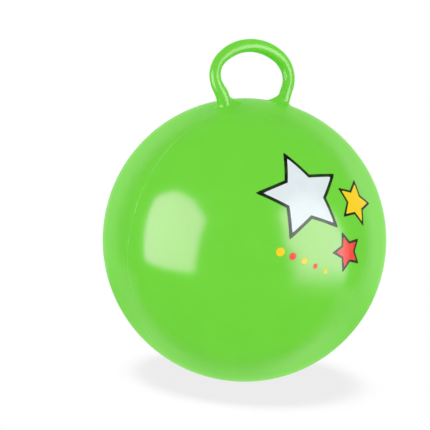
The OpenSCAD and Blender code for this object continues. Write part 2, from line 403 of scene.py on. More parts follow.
# Marks of handling and waves of each surface, as scales per metre and heights in metres
SKIN_MARKS = {"Tone_Scale": 16.0, "Scuff_Scale": 55.0, "Lint_Scale": 150.0}
SKIN_WAVES = {"Wave_Scale": 13.0, "Wave_Height": 0.0004, "Peel_Scale": 900.0, "Peel_Height": 0.0000025}
INK_MARKS = {**SKIN_MARKS, "Tone_Scale": 60.0}
INK_WAVES = {**SKIN_WAVES, "Peel_Scale": 1500.0, "Peel_Height": 0.0000015}
PLUG_MARKS = {"Tone_Scale": 180.0, "Scuff_Scale": 300.0, "Lint_Scale": 700.0}
PLUG_WAVES = {"Wave_Scale": 160.0, "Wave_Height": 0.00004, "Peel_Scale": 4000.0, "Peel_Height": 0.000004}


def darker(tint, share):
    """Colour taken down to a share of its brightness."""
    return [share * c for c in tint[:3]] + [1.0]


def worn_material(name, marks, waves):
    """New material; returns it, its board, its shader's inputs, its coordinates, its marks and its waves."""
    material = bpy.data.materials.new(name)
    material.use_nodes = True
    board = NodeBoard(material.node_tree)
    where = board.add("ShaderNodeTexCoord", out="Object")
    worn = board.group(handling_marks(), Vector=where, **marks)
    height = board.group(skin_waves(), Vector=where, **waves)["Height"]
    return material, board, material.node_tree.nodes["Principled BSDF"].inputs, where, worn, height


def feed_surface(board, shader, tint, lint, dust, roughness, height):
    """Feeds a surface to its shader: its colour under a share of lint, its roughness and its relief."""
    board.feed(shader["Base Color"], board.tint(lint, tint, dust))
    board.feed(shader["Roughness"], roughness)
    board.feed(shader["Normal"], board.add("ShaderNodeBump", 1.0, 1.0, named={"Height": height}))


def low_angle_gloss(board, shader, gloss):
    """Weakens and dulls a gloss where it is seen at a low angle; returns its roughness."""
    plain_level, level_end, roughness_end = 0.5, 0.80, 0.70
    aslant = board.add("ShaderNodeLayerWeight", 0.5, out="Facing")
    level = board.ramp(aslant, gloss.fade_start, level_end, plain_level, gloss.rim_level)
    board.feed(shader["Specular IOR Level"], level)
    return board.ramp(aslant, gloss.fade_start, roughness_end, gloss.roughness, gloss.rim_roughness)


def gloss_vinyl(name, finish, gloss, mould):
    """Gloss vinyl with the mould's line along a plane, raised as a small bump and tinted pale as a painted
    highlight.
    """
    deep, lint_share, scuff_dull, tone_dull, breaks = 0.97, 0.10, 0.08, 0.02, 45.0
    material, board, shader, where, marks, waves = worn_material(name, SKIN_MARKS, SKIN_WAVES)
    line = board.group(mould_line(), Vector=where, Across=mould.across, Offset=mould.offset,
                       Half_Width=mould.half_width, Break_Scale=breaks)["Line"]
    toned = board.tint(marks["Tone"], darker(finish.vinyl, deep), finish.vinyl)
    # Painted highlight: the mould line is tinted pale in the colour, where the bead's glint would show
    glint_painted = board.tint(board.times(line, mould.pale), toned, finish.painted_seam_glint)
    lint = board.times(marks["Lint"], lint_share)
    scuffed = board.math("MULTIPLY_ADD", marks["Scuff"], scuff_dull, low_angle_gloss(board, shader, gloss))
    roughness = board.math("MULTIPLY_ADD", marks["Tone"], tone_dull, scuffed)
    relief = board.math("MULTIPLY_ADD", line, mould.height, waves)
    feed_surface(board, shader, glint_painted, lint, finish.dust, roughness, relief)
    shader["IOR"].default_value = gloss.index
    shader["Specular Tint"].default_value = finish.vinyl_glare
    return material


def printed_ink(name, finish, tint, gloss):
    """Gloss ink on the vinyl, with a little mottling, on the same slow waves as the skin."""
    ink_share, lint_share, scuff_dull = 0.93, 0.10, 0.10
    material, board, shader, _, marks, waves = worn_material(name, INK_MARKS, INK_WAVES)
    thin = [ink_share * c + (1.0 - ink_share) * v for c, v in zip(tint[:3], finish.vinyl[:3])] + [1.0]
    mottled = board.tint(marks["Tone"], thin, tint)
    lint = board.times(marks["Lint"], lint_share)
    roughness = board.math("MULTIPLY_ADD", marks["Scuff"], scuff_dull, low_angle_gloss(board, shader, gloss))
    feed_surface(board, shader, mottled, lint, finish.dust, roughness, waves)
    shader["IOR"].default_value = gloss.index
    return material


def plug_plastic(finish):
    """Soft white plastic of the plug, with a fine moulded grain."""
    deep, lint_share, scuff_dull, dull = 0.90, 0.25, 0.15, 0.30
    material, board, shader, _, marks, waves = worn_material("plug_plastic", PLUG_MARKS, PLUG_WAVES)
    toned = board.tint(marks["Tone"], darker(finish.plug, deep), finish.plug)
    lint = board.times(marks["Lint"], lint_share)
    roughness = board.math("MULTIPLY_ADD", marks["Scuff"], scuff_dull, dull)
    feed_surface(board, shader, toned, lint, finish.dust, roughness, waves)
    shader["IOR"].default_value = 1.50
    shader["Subsurface Weight"].default_value = 0.15
    shader["Subsurface Radius"].default_value = (0.002, 0.002, 0.002)
    return material


# Meshes

MILLIMETRE = 0.001


def joined_rings(name, rings, first=None, last=None, closed=False):
    """Mesh through rings of equal count, with a point at each end that is given, or closed end to end."""
    count = rings.shape[1]
    points = [tuple(p) for p in rings.reshape(-1, 3)]
    faces = []
    for ring in range(len(rings) if closed else len(rings) - 1):
        low, high = ring * count, (ring + 1) % len(rings) * count
        for side in range(count):
            beside = (side + 1) % count
            faces.append((low + side, low + beside, high + beside, high + side))
    for end, low, turned in ((first, 0, True), (last, (len(rings) - 1) * count, False)):
        if end is not None:
            points.append(tuple(end))
            for side in range(count):
                edge = (low + side, low + (side + 1) % count)
                faces.append((*(edge[::-1] if turned else edge), len(points) - 1))
    mesh = bpy.data.meshes.new(name)
    mesh.from_pydata(points, [], faces)
    if mesh.validate():
        raise RuntimeError(f"{name}: its rings don't make a clean mesh")
    return mesh


def smooth(mesh, sharp_degrees):
    """Shades a mesh smooth, with edges sharper than an angle left sharp."""
    mesh.shade_smooth()
    mesh.set_sharp_from_angle(angle=math.radians(sharp_degrees))


def new_piece(name, mesh, material=None):
    """New object at the origin for a finished mesh."""
    if material is not None:
        mesh.materials.clear()
        mesh.materials.append(material)
    piece = bpy.data.objects.new(name, mesh)
    bpy.context.scene.collection.objects.link(piece)
    return piece


def grown_mesh(name, guide, tree, values, film=None):
    """Plain mesh that a geometry tree grows from a guide, with a film's thickness where one is given."""
    holder = new_piece(name + "_guide", guide)
    modifier = holder.modifiers.new(tree.name, "NODES")
    modifier.node_group = tree
    sockets = [item for item in tree.interface.items_tree if item.in_out == "INPUT"]
    identifiers = {socket.name: socket.identifier for socket in sockets}
    for key, value in values.items():
        modifier[identifiers[key]] = value
    if film is not None:
        thick = holder.modifiers.new("Film", "SOLIDIFY")
        thick.thickness = film
        thick.offset = 1.0
    graph = bpy.context.evaluated_depsgraph_get()
    mesh = bpy.data.meshes.new_from_object(holder.evaluated_get(graph), depsgraph=graph)
    holder.modifiers.clear()
    bpy.data.objects.remove(holder)
    bpy.data.meshes.remove(guide)
    if len(mesh.polygons) == 0:
        raise RuntimeError(f"{name}: its tree made no faces")
    mesh.name = name
    return mesh


def slow_wobble(turns, seed, waves):
    """Smooth wobble round a circle, from about -1 to 1."""
    chance = np.random.default_rng(seed)
    total = np.zeros_like(turns)
    for wave in waves:
        total += chance.uniform(0.5, 1.0) * np.cos(wave * turns + chance.uniform(0.0, 2.0 * math.pi))
    return total / max(1e-9, np.abs(total).max())


# Ball skin

def ball_mesh(ball):
    """Closed skin in rings about the valve's axis, close together at the seam, with both its faces."""
    sides, outer_rows, inner_rows = 224, 150, 44
    faint_turn, faint_spread, faint_share = math.radians(168.0), 0.30, 0.7
    mean_strength, strength_swing, bead_power = 0.62, 0.35, 1.5
    seam_drift, seam_clear = 0.00016, 0.006
    groove_depth, groove_spread = 0.00010, 0.0028
    turns = np.linspace(0.0, 2.0 * math.pi, sides, endpoint=False)
    faint = faint_share * np.exp(-((turns - faint_turn) / faint_spread) ** 2)
    strength = mean_strength + strength_swing * slow_wobble(turns, 4, (5, 9, 17, 31, 47, 60))
    strength = strength * (1.0 - faint)
    drift = seam_drift * slow_wobble(turns, 9, (3, 7, 13, 22))
    hole = math.pi - math.asin(ball.valve_hole / ball.radius)
    even = np.linspace(0.0, hole, outer_rows)[1:]
    beside = np.array([0.0, 0.2, 0.4, 0.6, 0.8, 1.0, 1.3, 1.8, 2.6, 3.8, 5.4]) * MILLIMETRE / ball.radius
    seam = math.acos(ball.seam_offset / ball.radius)
    at_seam = np.concatenate([-beside[:0:-1], beside]) + seam
    clear = np.abs(even - seam) > beside.max() + seam_clear
    outer = np.sort(np.concatenate([even[clear], at_seam]))
    inner = np.linspace(hole, 0.0, inner_rows)[:-1]

    def ring(polar, radius, low):
        out = np.full(sides, radius)
        if low == 0.0:
            across = (polar - seam) * radius
            share = np.clip(1.0 - ((across - drift) / (0.5 * ball.seam_width)) ** 2, 0.0, 1.0)
            out = out + ball.seam_height * strength * share ** bead_power
            out = out - groove_depth * np.exp(-(across / groove_spread) ** 2) * (1.0 - share)
        aside = out * math.sin(polar)
        height = np.maximum(aside * np.sin(turns) + ball.centre_height(), low)
        return np.stack([aside * np.cos(turns), -out * math.cos(polar), height], axis=1)

    rings = [ring(polar, ball.radius, 0.0) for polar in outer]
    rings += [ring(polar, ball.radius - ball.wall, ball.wall) for polar in inner]
    middle = ball.centre_height()
    return joined_rings("vinyl_ball", np.array(rings), first=(0.0, -ball.radius, middle),
                        last=(0.0, ball.wall - ball.radius, middle))


class HOPPER_OT_ball(bpy.types.Operator):
    """Moulds the ball skin with its seam, its rest patch and the hole for the valve"""

    bl_idname = "hopper.ball"
    bl_label = "Ball skin"

    def execute(self, context):
        settings = context.scene.hopper_ball
        mesh = ball_mesh(settings.ball)
        mesh.shade_smooth()
        # The seam gets a strong painted highlight (pale) over a faint bump
        seam = MouldLine((0.0, 1.0, 0.0), -settings.ball.seam_offset, half_width=0.0009, height=0.00001,
                         pale=0.60)
        piece = new_piece("vinyl_ball", mesh, gloss_vinyl("ball_vinyl", settings.finish, BALL_GLOSS, seam))
        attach(piece, "ball")
        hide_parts("ball_skin")
        return {"FINISHED"}


# Loop handle

def half_path(ball, handle):
    """Right half of the grip's middle line from the top to under the skin, out from the ball's centre."""
    def raked(side, out):
        over = out - handle.hinge_out
        return Vector((side, over * math.sin(handle.rake), handle.hinge_out + over * math.cos(handle.rake)))

    top_count, shoulder_count, leg_count, foot_count = 20, 30, 9, 54
    foot_start, foot_pull = 0.60, 0.45
    sunk = (0.0003, 0.0006, 0.0009, 0.0012)
    points = []
    radius, leg = handle.top_radius, handle.leg_angle
    top_out = handle.top_out - radius
    for turn in np.linspace(0.0, handle.top_angle, top_count):
        points.append(raked(radius * math.sin(turn), top_out + radius * math.cos(turn)))
    offset = radius - handle.shoulder_radius
    middle = (offset * math.sin(handle.top_angle), top_out + offset * math.cos(handle.top_angle))
    for turn in np.linspace(handle.top_angle, leg, shoulder_count)[1:]:
        points.append(raked(middle[0] + handle.shoulder_radius * math.sin(turn),
                            middle[1] + handle.shoulder_radius * math.cos(turn)))
    start = points[-1]
    heading = (raked(math.cos(leg), -math.sin(leg)) - raked(0.0, 0.0)).normalized()
    foot_out = math.sqrt(ball.radius ** 2 - handle.foot_side ** 2)
    up = Vector((handle.foot_side, 0.0, foot_out)) / ball.radius
    end = up * ball.radius
    span = (end - start).length
    steps = [*np.linspace(0.0, foot_start, leg_count)[1:], *np.linspace(foot_start, 1.0, foot_count)[1:]]
    for t in map(float, steps):
        points.append((2 * t ** 3 - 3 * t ** 2 + 1) * start + (t ** 3 - 2 * t ** 2 + t) * span * heading
                      + (3 * t ** 2 - 2 * t ** 3) * end - (t ** 3 - t ** 2) * foot_pull * span * up)
    return points + [end - up * depth for depth in sunk]


def grip_guide(ball, handle):
    """Edges along the middle of the grip from foot to foot, with the grip's share of its radius."""
    right = half_path(ball, handle)
    steps = [(b - a).length for a, b in zip(right, right[1:])]
    run = np.concatenate([[0.0], np.cumsum(steps)]) / MILLIMETRE

    def sag(depth, middle, spread):
        return (depth * np.exp(-((run - middle) / spread) ** 2)).tolist()

    marks = [0.0, 40.0, 75.0, 100.0, 122.0, 150.0]
    right_share = np.interp(run, marks, [1.09, 1.15, 1.10, 1.02, 1.02, 1.06])
    left_share = np.interp(run, marks, [1.09, 1.05, 0.93, 0.97, 1.12, 1.20])
    left_sag = sag(depth=0.0018, middle=88.0, spread=22.0)
    right_sag = sag(depth=0.0010, middle=60.0, spread=25.0)
    points = [Vector((-p.x - low, p.y, p.z)) for p, low in list(zip(right, left_sag))[:0:-1]]
    points += [Vector((p.x - low, p.y, p.z)) for p, low in zip(right, right_sag)]
    guide = bpy.data.meshes.new("grip_guide")
    lift = Vector((-handle.sway, 0.0, ball.centre_height()))
    guide.from_pydata([p + lift for p in points], [(i, i + 1) for i in range(len(points) - 1)], [])
    guide.attributes.new("grip_share", "FLOAT", "POINT").data.foreach_set(
        "value", np.concatenate([left_share[:0:-1], right_share]).astype(np.float32))
    return guide


def grip_sweep():
    """Tree that sweeps a round grip along its guide and spreads its feet on the ball."""
    board, given, result = new_tree("GeometryNodeTree", "Grip sweep", [
        ("Guide", "Geometry"), ("Grip Radius", "Float"), ("Sides", "Int"), ("Ball Radius", "Float"),
        ("Centre Height", "Float"), ("Fillet Height", "Float"), ("Fillet Reach", "Float"),
        ("Web Height", "Float"), ("Web Reach", "Float"), ("Material", "Material")], [("Handle", "Geometry")])
    web_focus, web_fill, web_slope, foot_flare = 3.0, 0.6, 1.3, 2.5
    share = board.add("GeometryNodeInputNamedAttribute", "grip_share", data_type="FLOAT")
    path = board.add("GeometryNodeMeshToCurve", given["Guide"])
    middle = board.add("GeometryNodeInputPosition")
    kept = board.capture(path, Middle=("VECTOR", middle), Share=("FLOAT", share))
    circle = board.add("GeometryNodeCurvePrimitiveCircle",
                       named={"Resolution": given["Sides"], "Radius": given["Grip Radius"]})
    tube = board.add("GeometryNodeCurveToMesh", kept["Geometry"], circle, kept["Share"], True)

    where = board.add("GeometryNodeInputPosition")
    centre = board.add("ShaderNodeCombineXYZ", 0.0, 0.0, given["Centre Height"])
    arm = board.vector("SUBTRACT", where, centre)
    out = board.vector("NORMALIZE", arm)
    over = board.minus(board.vector("LENGTH", arm), given["Ball Radius"])
    spoke = board.vector("SUBTRACT", where, kept["Middle"])
    flat = board.vector("SUBTRACT", spoke, board.scale(out, board.dot(spoke, out)))
    away = board.vector("NORMALIZE", flat)
    side = board.math("SIGN", board.add("ShaderNodeSeparateXYZ", where))
    aside = board.add("ShaderNodeSeparateXYZ", away)
    inward = board.times(aside, board.times(side, -1.0))
    web = board.math("POWER", board.math("MAXIMUM", inward, 0.0), web_focus)
    tall = board.mix(web, given["Fillet Height"], given["Web Height"])
    reach = board.mix(web, given["Fillet Reach"], given["Web Reach"])
    depth = board.math("SUBTRACT", 1.0, board.math("DIVIDE", over, tall), clamp=True)
    chord = board.math("SQRT", board.minus(1.0, board.times(depth, depth)))
    hollow = board.minus(1.0, chord)
    slope = board.mix(board.times(web, web_fill), hollow, board.math("POWER", depth, web_slope))
    spread = board.times(reach, slope)
    below = board.math("MAXIMUM", board.times(over, -1.0), 0.0)
    under = board.times(below, foot_flare)
    moved = board.vector("ADD", arm, board.scale(away, board.plus(spread, under)))
    set_out = board.scale(board.vector("NORMALIZE", moved), board.plus(over, given["Ball Radius"]))
    shaped = board.add("GeometryNodeSetPosition", tube, None, board.vector("ADD", set_out, centre))
    whole = board.add("GeometryNodeRealizeInstances", shaped)
    board.feed(result["Handle"], board.add("GeometryNodeSetMaterial", whole, None, given["Material"]))
    return board.tree


class HOPPER_OT_handle(bpy.types.Operator):
    """Sweeps the loop handle along its bends and spreads its two feet on the ball"""

    bl_idname = "hopper.handle"
    bl_label = "Loop handle"

    def execute(self, context):
        settings = context.scene.hopper_ball
        ball, handle = settings.ball, settings.handle
        across = (0.0, math.cos(handle.rake), -math.sin(handle.rake))
        hinge = ball.centre_height() + handle.hinge_out
        # The handle's parting line gets a faint painted highlight (pale)
        line = MouldLine(across, across[2] * hinge, half_width=0.0008, height=0.00003, pale=0.20)
        skin = gloss_vinyl("handle_vinyl", settings.finish, HANDLE_GLOSS, line)
        mesh = grown_mesh("loop_handle", grip_guide(ball, handle), grip_sweep(), {
            "Grip Radius": handle.grip_radius, "Sides": handle.sides, "Ball Radius": ball.radius,
            "Centre Height": ball.centre_height(), "Fillet Height": handle.fillet_height,
            "Fillet Reach": handle.fillet_reach, "Web Height": handle.web_height,
            "Web Reach": handle.web_reach, "Material": skin})
        mesh.shade_smooth()
        piece = new_piece("loop_handle", mesh)
        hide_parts("handle_loop", "left_handle_root", "right_handle_root")
        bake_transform(piece)
        return {"FINISHED"}


# Printed stars and dots

def ink_film():
    """Tree that turns each point of a sheet into a star, a star's outline or a dot, laid on the ball."""
    board, given, result = new_tree("GeometryNodeTree", "Ink film", [
        ("Sheet", "Geometry"), ("Ball Radius", "Float"), ("Centre Height", "Float"), ("Tilt", "Float"),
        ("Waist", "Float"), ("Tip Rounding", "Float"), ("Around", "Int"), ("Rings", "Int"),
        ("Material", "Material")], [("Ink", "Geometry")])
    merge_reach = 0.00001
    chart = board.add("GeometryNodeMeshGrid", 1.0, 1.0, given["Around"], given["Rings"])
    flat_chart = board.capture(chart, Chart=("VECTOR", board.add("GeometryNodeInputPosition")))
    motifs = board.capture(given["Sheet"], Place=("VECTOR", board.add("GeometryNodeInputPosition")))
    copies = board.add("GeometryNodeInstanceOnPoints", motifs["Geometry"], None, flat_chart["Geometry"])
    whole = board.add("GeometryNodeRealizeInstances", copies)

    tip, bare, turn, rounded = (board.add("GeometryNodeInputNamedAttribute", name, data_type="FLOAT")
                                for name in ("tip", "bare", "turn", "rounded"))
    chart_x, chart_y = board.node("ShaderNodeSeparateXYZ", flat_chart["Chart"]).outputs[:2]
    around = board.times(board.plus(chart_x, 0.5), -2.0 * math.pi)
    half_point = math.pi / 5.0
    fold = board.math("PINGPONG", around, half_point)
    unfolded = board.math("SINE", board.minus(half_point, fold))
    below = board.plus(board.math("SINE", fold), board.times(given["Waist"], unfolded))
    above = board.times(board.times(tip, given["Waist"]), math.sin(half_point))
    edge = board.math("DIVIDE", above, below)
    cut = board.minus(tip, given["Tip Rounding"])
    blunt = board.math("SMOOTH_MIN", edge, cut, given["Tip Rounding"])
    edge = board.mix(rounded, blunt, tip)
    share = board.mix(board.plus(chart_y, 0.5), bare, 1.0)
    radius = board.times(edge, share)
    bearing = board.plus(board.plus(around, turn), 0.5 * math.pi)
    offset = board.add("ShaderNodeCombineXYZ", board.times(radius, board.math("COSINE", bearing)),
                       board.times(radius, board.math("SINE", bearing)))
    flat = board.vector("ADD", offset, motifs["Place"])
    full = board.times(given["Ball Radius"], given["Ball Radius"])
    rise = board.math("SQRT", board.minus(full, board.dot(flat, flat)))
    laid = board.vector("ADD", flat, board.add("ShaderNodeCombineXYZ", 0.0, 0.0, rise))
    film = board.add("GeometryNodeSetPosition", whole, None, laid)
    closed = board.add("GeometryNodeMergeByDistance", film, None, merge_reach)
    lean = board.add("ShaderNodeCombineXYZ", board.minus(0.5 * math.pi, given["Tilt"]))
    up = board.add("ShaderNodeCombineXYZ", 0.0, 0.0, given["Centre Height"])
    stood = board.add("GeometryNodeTransform", closed, named={"Translation": up, "Rotation": lean})
    whole = board.add("GeometryNodeRealizeInstances", stood)
    board.feed(result["Ink"], board.add("GeometryNodeSetMaterial", whole, None, given["Material"]))
    return board.tree


def ink_sheet(name, motifs):
    """Flat points for one ink's motifs, each a place, a tip radius, a bare share, a turn and a roundness."""
    sheet = bpy.data.meshes.new(name + "_sheet")
    sheet.from_pydata([(*motif[0], 0.0) for motif in motifs], [], [])
    for column, key in enumerate(("tip", "bare", "turn", "rounded"), start=1):
        values = np.array([motif[column] for motif in motifs], np.float32)
        sheet.attributes.new(key, "FLOAT", "POINT").data.foreach_set("value", values)
    return sheet


class HOPPER_OT_print(bpy.types.Operator):
    """Prints the stars and the row of dots on the front of the ball, one film for each ink"""

    bl_idname = "hopper.print"
    bl_label = "Stars and dots"

    def execute(self, context):
        settings = context.scene.hopper_ball
        ball, sheet, finish = settings.ball, settings.print_sheet, settings.finish
        stars = [(sheet.large_place, sheet.large_star, sheet.large_edge, sheet.large_turn),
                 (sheet.middle_place, sheet.middle_star, sheet.middle_edge, sheet.middle_turn),
                 (sheet.small_place, sheet.small_star, sheet.small_edge, sheet.small_turn)]
        fills = [(where, tip, 0.0, turn, 0.0) for where, tip, _, turn in stars]
        edges = [(where, edge, tip / edge, turn, 0.0) for where, tip, edge, turn in stars]
        dots = []
        for i in range(sheet.dot_count):
            where = [a + i * b for a, b in zip(sheet.dot_place, sheet.dot_step)]
            dots.append((where, 0.5 * sheet.dot_diameter * sheet.dot_share ** i, 0.0, 0.0, 1.0))
        inks = (("white", finish.white, WHITE_GLOSS, fills[:1]),
                ("yellow", finish.yellow, COLOUR_GLOSS, fills[1:2] + dots[0::2]),
                ("red", finish.red, COLOUR_GLOSS, fills[2:] + dots[1::2]),
                ("black", finish.black, BLACK_GLOSS, edges))
        tree = ink_film()
        for ink, tint, gloss, motifs in inks:
            mesh = grown_mesh(ink + "_ink", ink_sheet(ink, motifs), tree, {
                "Ball Radius": ball.radius + sheet.lift, "Centre Height": ball.centre_height(),
                "Tilt": sheet.tilt, "Waist": sheet.waist, "Tip Rounding": sheet.tip_round, "Around": 161,
                "Rings": 13, "Material": printed_ink(ink + "_ink", finish, tint, gloss)}, film=sheet.film)
            smooth(mesh, sharp_degrees=40)
            piece = new_piece(ink + "_ink", mesh)
            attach(piece, "ball")
            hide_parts("print_" + ink)
        return {"FINISHED"}


# Valve

def softened(profile, rounds):
    """Closed profile with some corners rounded; rounds maps a corner's number to its radius."""
    arc_points = 7
    points = []
    for index, corner in enumerate(profile):
        here = np.array(corner)
        radius = rounds.get(index)
        if radius is None:
            points.append(here)
            continue
        before = np.array(profile[index - 1]) - here
        after = np.array(profile[(index + 1) % len(profile)]) - here
        start, end = (here + radius * d / np.linalg.norm(d) for d in (before, after))
        for t in np.linspace(0.0, 1.0, arc_points):
            points.append((1 - t) ** 2 * start + 2 * t * (1 - t) * here + t ** 2 * end)
    return np.array(points)


def turned_rings(profile, ball, sides):
    """Rings about the valve's axis through points of a profile, each a radius and a length out."""
    turns = np.linspace(0.0, 2.0 * math.pi, sides, endpoint=False)
    across, down = np.cos(turns), np.sin(turns)
    return np.array([np.stack([r * across, np.full(sides, out), ball.centre_height() - r * down], axis=1)
                     for r, out in profile])


def seat_mesh(ball, valve):
    """Valve seat: a lip on the skin, a sleeve and a flange inside, with a recess, a bore and a notch."""
    gap, flange_gap, lip_sunk, rounding = 0.00005, 0.0001, 0.0002, 1e-6
    row, sides, notch_slope = 0.0012, 128, 0.3
    top = ball.radius + valve.lip_height
    end = ball.radius - valve.seat_length
    foot = math.sqrt(ball.radius ** 2 - valve.seat_radius ** 2) - lip_sunk
    inside = math.sqrt((ball.radius - ball.wall) ** 2 - valve.flange_radius ** 2) - flange_gap
    bed = top - valve.head - gap
    profile = softened([
        (valve.stem_end + gap, end), (valve.stem_radius + gap, bed), (valve.recess_radius, bed),
        (valve.recess_radius, top), (valve.lip_radius, top), (valve.lip_radius, foot),
        (valve.seat_radius, foot), (valve.seat_radius, inside), (valve.flange_radius, inside),
        (valve.flange_radius, inside - valve.flange), (valve.seat_radius, inside - valve.flange),
        (valve.seat_radius, end)], {3: 0.0003, 4: 0.0008, 8: 0.0004, 9: 0.0004, 11: 0.0005})
    fine = [profile[0]]
    for before, after in zip(profile, profile[1:]):
        steps = max(1, round(float(np.linalg.norm(after - before)) / row))
        fine += [before + (after - before) * step / steps for step in range(1, steps + 1)]
    rings = turned_rings(fine, ball, sides)
    x, out, z = rings[..., 0], rings[..., 1], rings[..., 2]
    notch = np.hypot(x, z - (ball.centre_height() - valve.recess_radius)) / valve.notch_radius
    sunk = np.clip((1.0 - notch) / notch_slope, 0.0, 1.0)
    sunk = sunk * sunk * (3.0 - 2.0 * sunk)
    lowered = np.minimum(out, out - sunk * (out - (top - valve.notch_depth)))
    rings[..., 1] = np.where(out > bed + rounding, lowered, out)
    return joined_rings("valve_seat_moulding", rings, closed=True)


def plug_mesh(ball, valve):
    """Push-in plug: a dished head on a tapered stem with a rounded tip."""
    sides, dish_rows, dish_end = 96, 12, 0.95
    top = ball.radius + valve.lip_height
    bed = top - valve.head
    tip = bed - valve.stem
    dish, dish_radius = 0.25 * valve.head, 0.70 * valve.head_radius
    profile = softened([
        (0.0, tip), (valve.stem_end, tip), (valve.stem_radius, bed), (valve.head_radius, bed),
        (valve.head_radius, top), (dish_radius, top), (0.0, top)],
        {1: 0.0009, 2: 0.0004, 3: 0.0003, 4: 0.0008})
    shaped = [(r, out) for r, out in profile[1:-1]]
    for share in np.linspace(0.0, dish_end, dish_rows)[1:]:
        shaped.append((dish_radius * (1.0 - share), top - dish * (1.0 - (1.0 - share) ** 2)))
    middle = ball.centre_height()
    return joined_rings("valve_plug_moulding", turned_rings(shaped, ball, sides), first=(0.0, tip, middle),
                        last=(0.0, top - dish, middle))


class HOPPER_OT_valve(bpy.types.Operator):
    """Turns the valve seat and its push-in plug"""

    bl_idname = "hopper.valve"
    bl_label = "Valve seat and plug"

    def execute(self, context):
        settings = context.scene.hopper_ball
        ball, valve = settings.ball, settings.valve
        # The seat's mould line gets a faint painted highlight (pale)
        line = MouldLine((1.0, 0.0, 0.0), 0.0, half_width=0.0003, height=0.00004, pale=0.20)
        seat_skin = gloss_vinyl("seat_vinyl", settings.finish, SEAT_GLOSS, line)
        plug_skin = plug_plastic(settings.finish)
        for name, mesh, material, body, node, slot in (
                ("valve_seat_moulding", seat_mesh(ball, valve), seat_skin, "ball", "valve_seat",
                 "vinyl_green"),
                ("valve_plug_moulding", plug_mesh(ball, valve), plug_skin, "plug", "valve_plug",
                 "plug_white")):
            smooth(mesh, sharp_degrees=50)
            piece = new_piece(name, mesh, material)
            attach(piece, body)
            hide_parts(node)
        return {"FINISHED"}


# Studio

UP = Vector((0.0, 0.0, 1.0))
WHITE = (1.0, 1.0, 1.0, 1.0)

# Turns from the camera's side of the ball, in degrees
LEFT_SIDE, RIGHT_SIDE, WALL_SIDE, SHADOW_SIDE = -60.0, 60.0, 174.0, -100.0


def view_turn(studio):
    """Direction from the ball to the camera, and the camera's turn when it looks straight at the ball."""
    level = math.cos(studio.elevation)
    toward = Vector((math.sin(studio.azimuth) * level, -math.cos(studio.azimuth) * level,
                     math.sin(studio.elevation)))
    return toward, toward.to_track_quat("Z", "Y") @ Quaternion(UP, studio.roll)


def camera_side(studio, degrees):
    """Level direction from the ball, turned from the camera's side, to its right where positive."""
    toward, _ = view_turn(studio)
    return Quaternion(UP, math.radians(degrees)) @ Vector((toward.x, toward.y, 0.0)).normalized()


def ray_kinds(board):
    """Sockets that are 1 for a ray from the camera, also through something clear, and for a glossy ray."""
    path = board.node("ShaderNodeLightPath").outputs
    return board.math("MAXIMUM", path["Is Camera Ray"], path["Is Transmission Ray"]), path["Is Glossy Ray"]


def bare_material(name):
    """New material without a shader; returns it, its board and its surface."""
    material = bpy.data.materials.new(name)
    material.use_nodes = True
    nodes = material.node_tree.nodes
    nodes.remove(nodes["Principled BSDF"])
    return material, NodeBoard(material.node_tree), nodes["Material Output"].inputs["Surface"]


def studio_world(studio):
    """White room: even light on the object, white to the camera, with a bright back wall in the gloss."""
    wall_edge, wall_top, ceiling_start = (0.50, 0.85), (0.45, 0.38), 0.55
    world = bpy.data.worlds.new("white_room")
    world.use_nodes = True
    board = NodeBoard(world.node_tree)
    back = world.node_tree.nodes["Background"].inputs
    way = board.add("ShaderNodeTexCoord", out="Generated")
    up = board.node("ShaderNodeSeparateXYZ", way).outputs["Z"]
    behind = board.ramp(board.dot(way, camera_side(studio, WALL_SIDE)), *wall_edge)
    wall = board.times(behind, board.ramp(up, *wall_top))
    fill = board.ramp(up, ceiling_start, 1.0, studio.fill, studio.fill * studio.ceiling)
    seen, glossy = ray_kinds(board)
    unseen = board.mix(glossy, fill, board.mix(wall, studio.room, studio.wall))
    board.feed(back["Color"], board.tint(glossy, WHITE, studio.wall_tint))
    board.feed(back["Strength"], board.mix(seen, unseen, 1.0))
    bpy.context.scene.world = world


def studio_floor(studio):
    """White floor. It shows the camera the ball's soft shadow, and the gloss a table, bright at the ball."""
    half, level = 9.0, -0.0004
    shadow_lean, shadow_range, shadow_samples = 0.18, (0.46, 0.60), 32
    table_back, table_bright, table_dim = (-0.14, -0.06), (0.35, 0.10), 0.4
    spill_reach, spill_width = (0.42, 0.64), (0.40, 0.15)
    mesh = bpy.data.meshes.new("floor")
    corners = [(x * half, y * half, level) for x, y in ((-1, -1), (1, -1), (1, 1), (-1, 1))]
    mesh.from_pydata(corners, [], [(0, 1, 2, 3)])
    material, board, surface = bare_material("floor_white")
    seen, glossy = ray_kinds(board)
    lean = (UP + shadow_lean * camera_side(studio, SHADOW_SIDE)).normalized()
    open_sky = board.add("ShaderNodeAmbientOcclusion", WHITE, 1.0, board.add("ShaderNodeCombineXYZ", *lean),
                         out="AO", samples=shadow_samples)
    shown = board.add("ShaderNodeEmission", WHITE, board.ramp(open_sky, *shadow_range, studio.shadow, 1.0))

    where = board.add("ShaderNodeTexCoord", out="Object")
    out = board.vector("LENGTH", where)
    behind = board.ramp(board.dot(where, camera_side(studio, WALL_SIDE)), *table_back)
    near = board.times(behind, board.ramp(out, *table_bright, table_dim, 1.0))
    right = camera_side(studio, RIGHT_SIDE)
    aside = board.math("ABSOLUTE", board.dot(where, UP.cross(right)))
    spill = board.times(board.ramp(board.dot(where, right), *spill_reach), board.ramp(aside, *spill_width))
    gloss = board.plus(board.mix(near, studio.room, studio.table_glow), spill)
    lit = board.add("ShaderNodeEmission", board.tint(glossy, WHITE, studio.wall_tint),
                    board.mix(glossy, studio.floor_light, gloss))
    past = board.times(board.math("GREATER_THAN", out, studio.table), glossy)
    table = board.add("ShaderNodeMixShader", past, lit, board.add("ShaderNodeBsdfTransparent"))
    board.feed(surface, board.add("ShaderNodeMixShader", seen, table, shown))
    new_piece("floor", mesh, material)


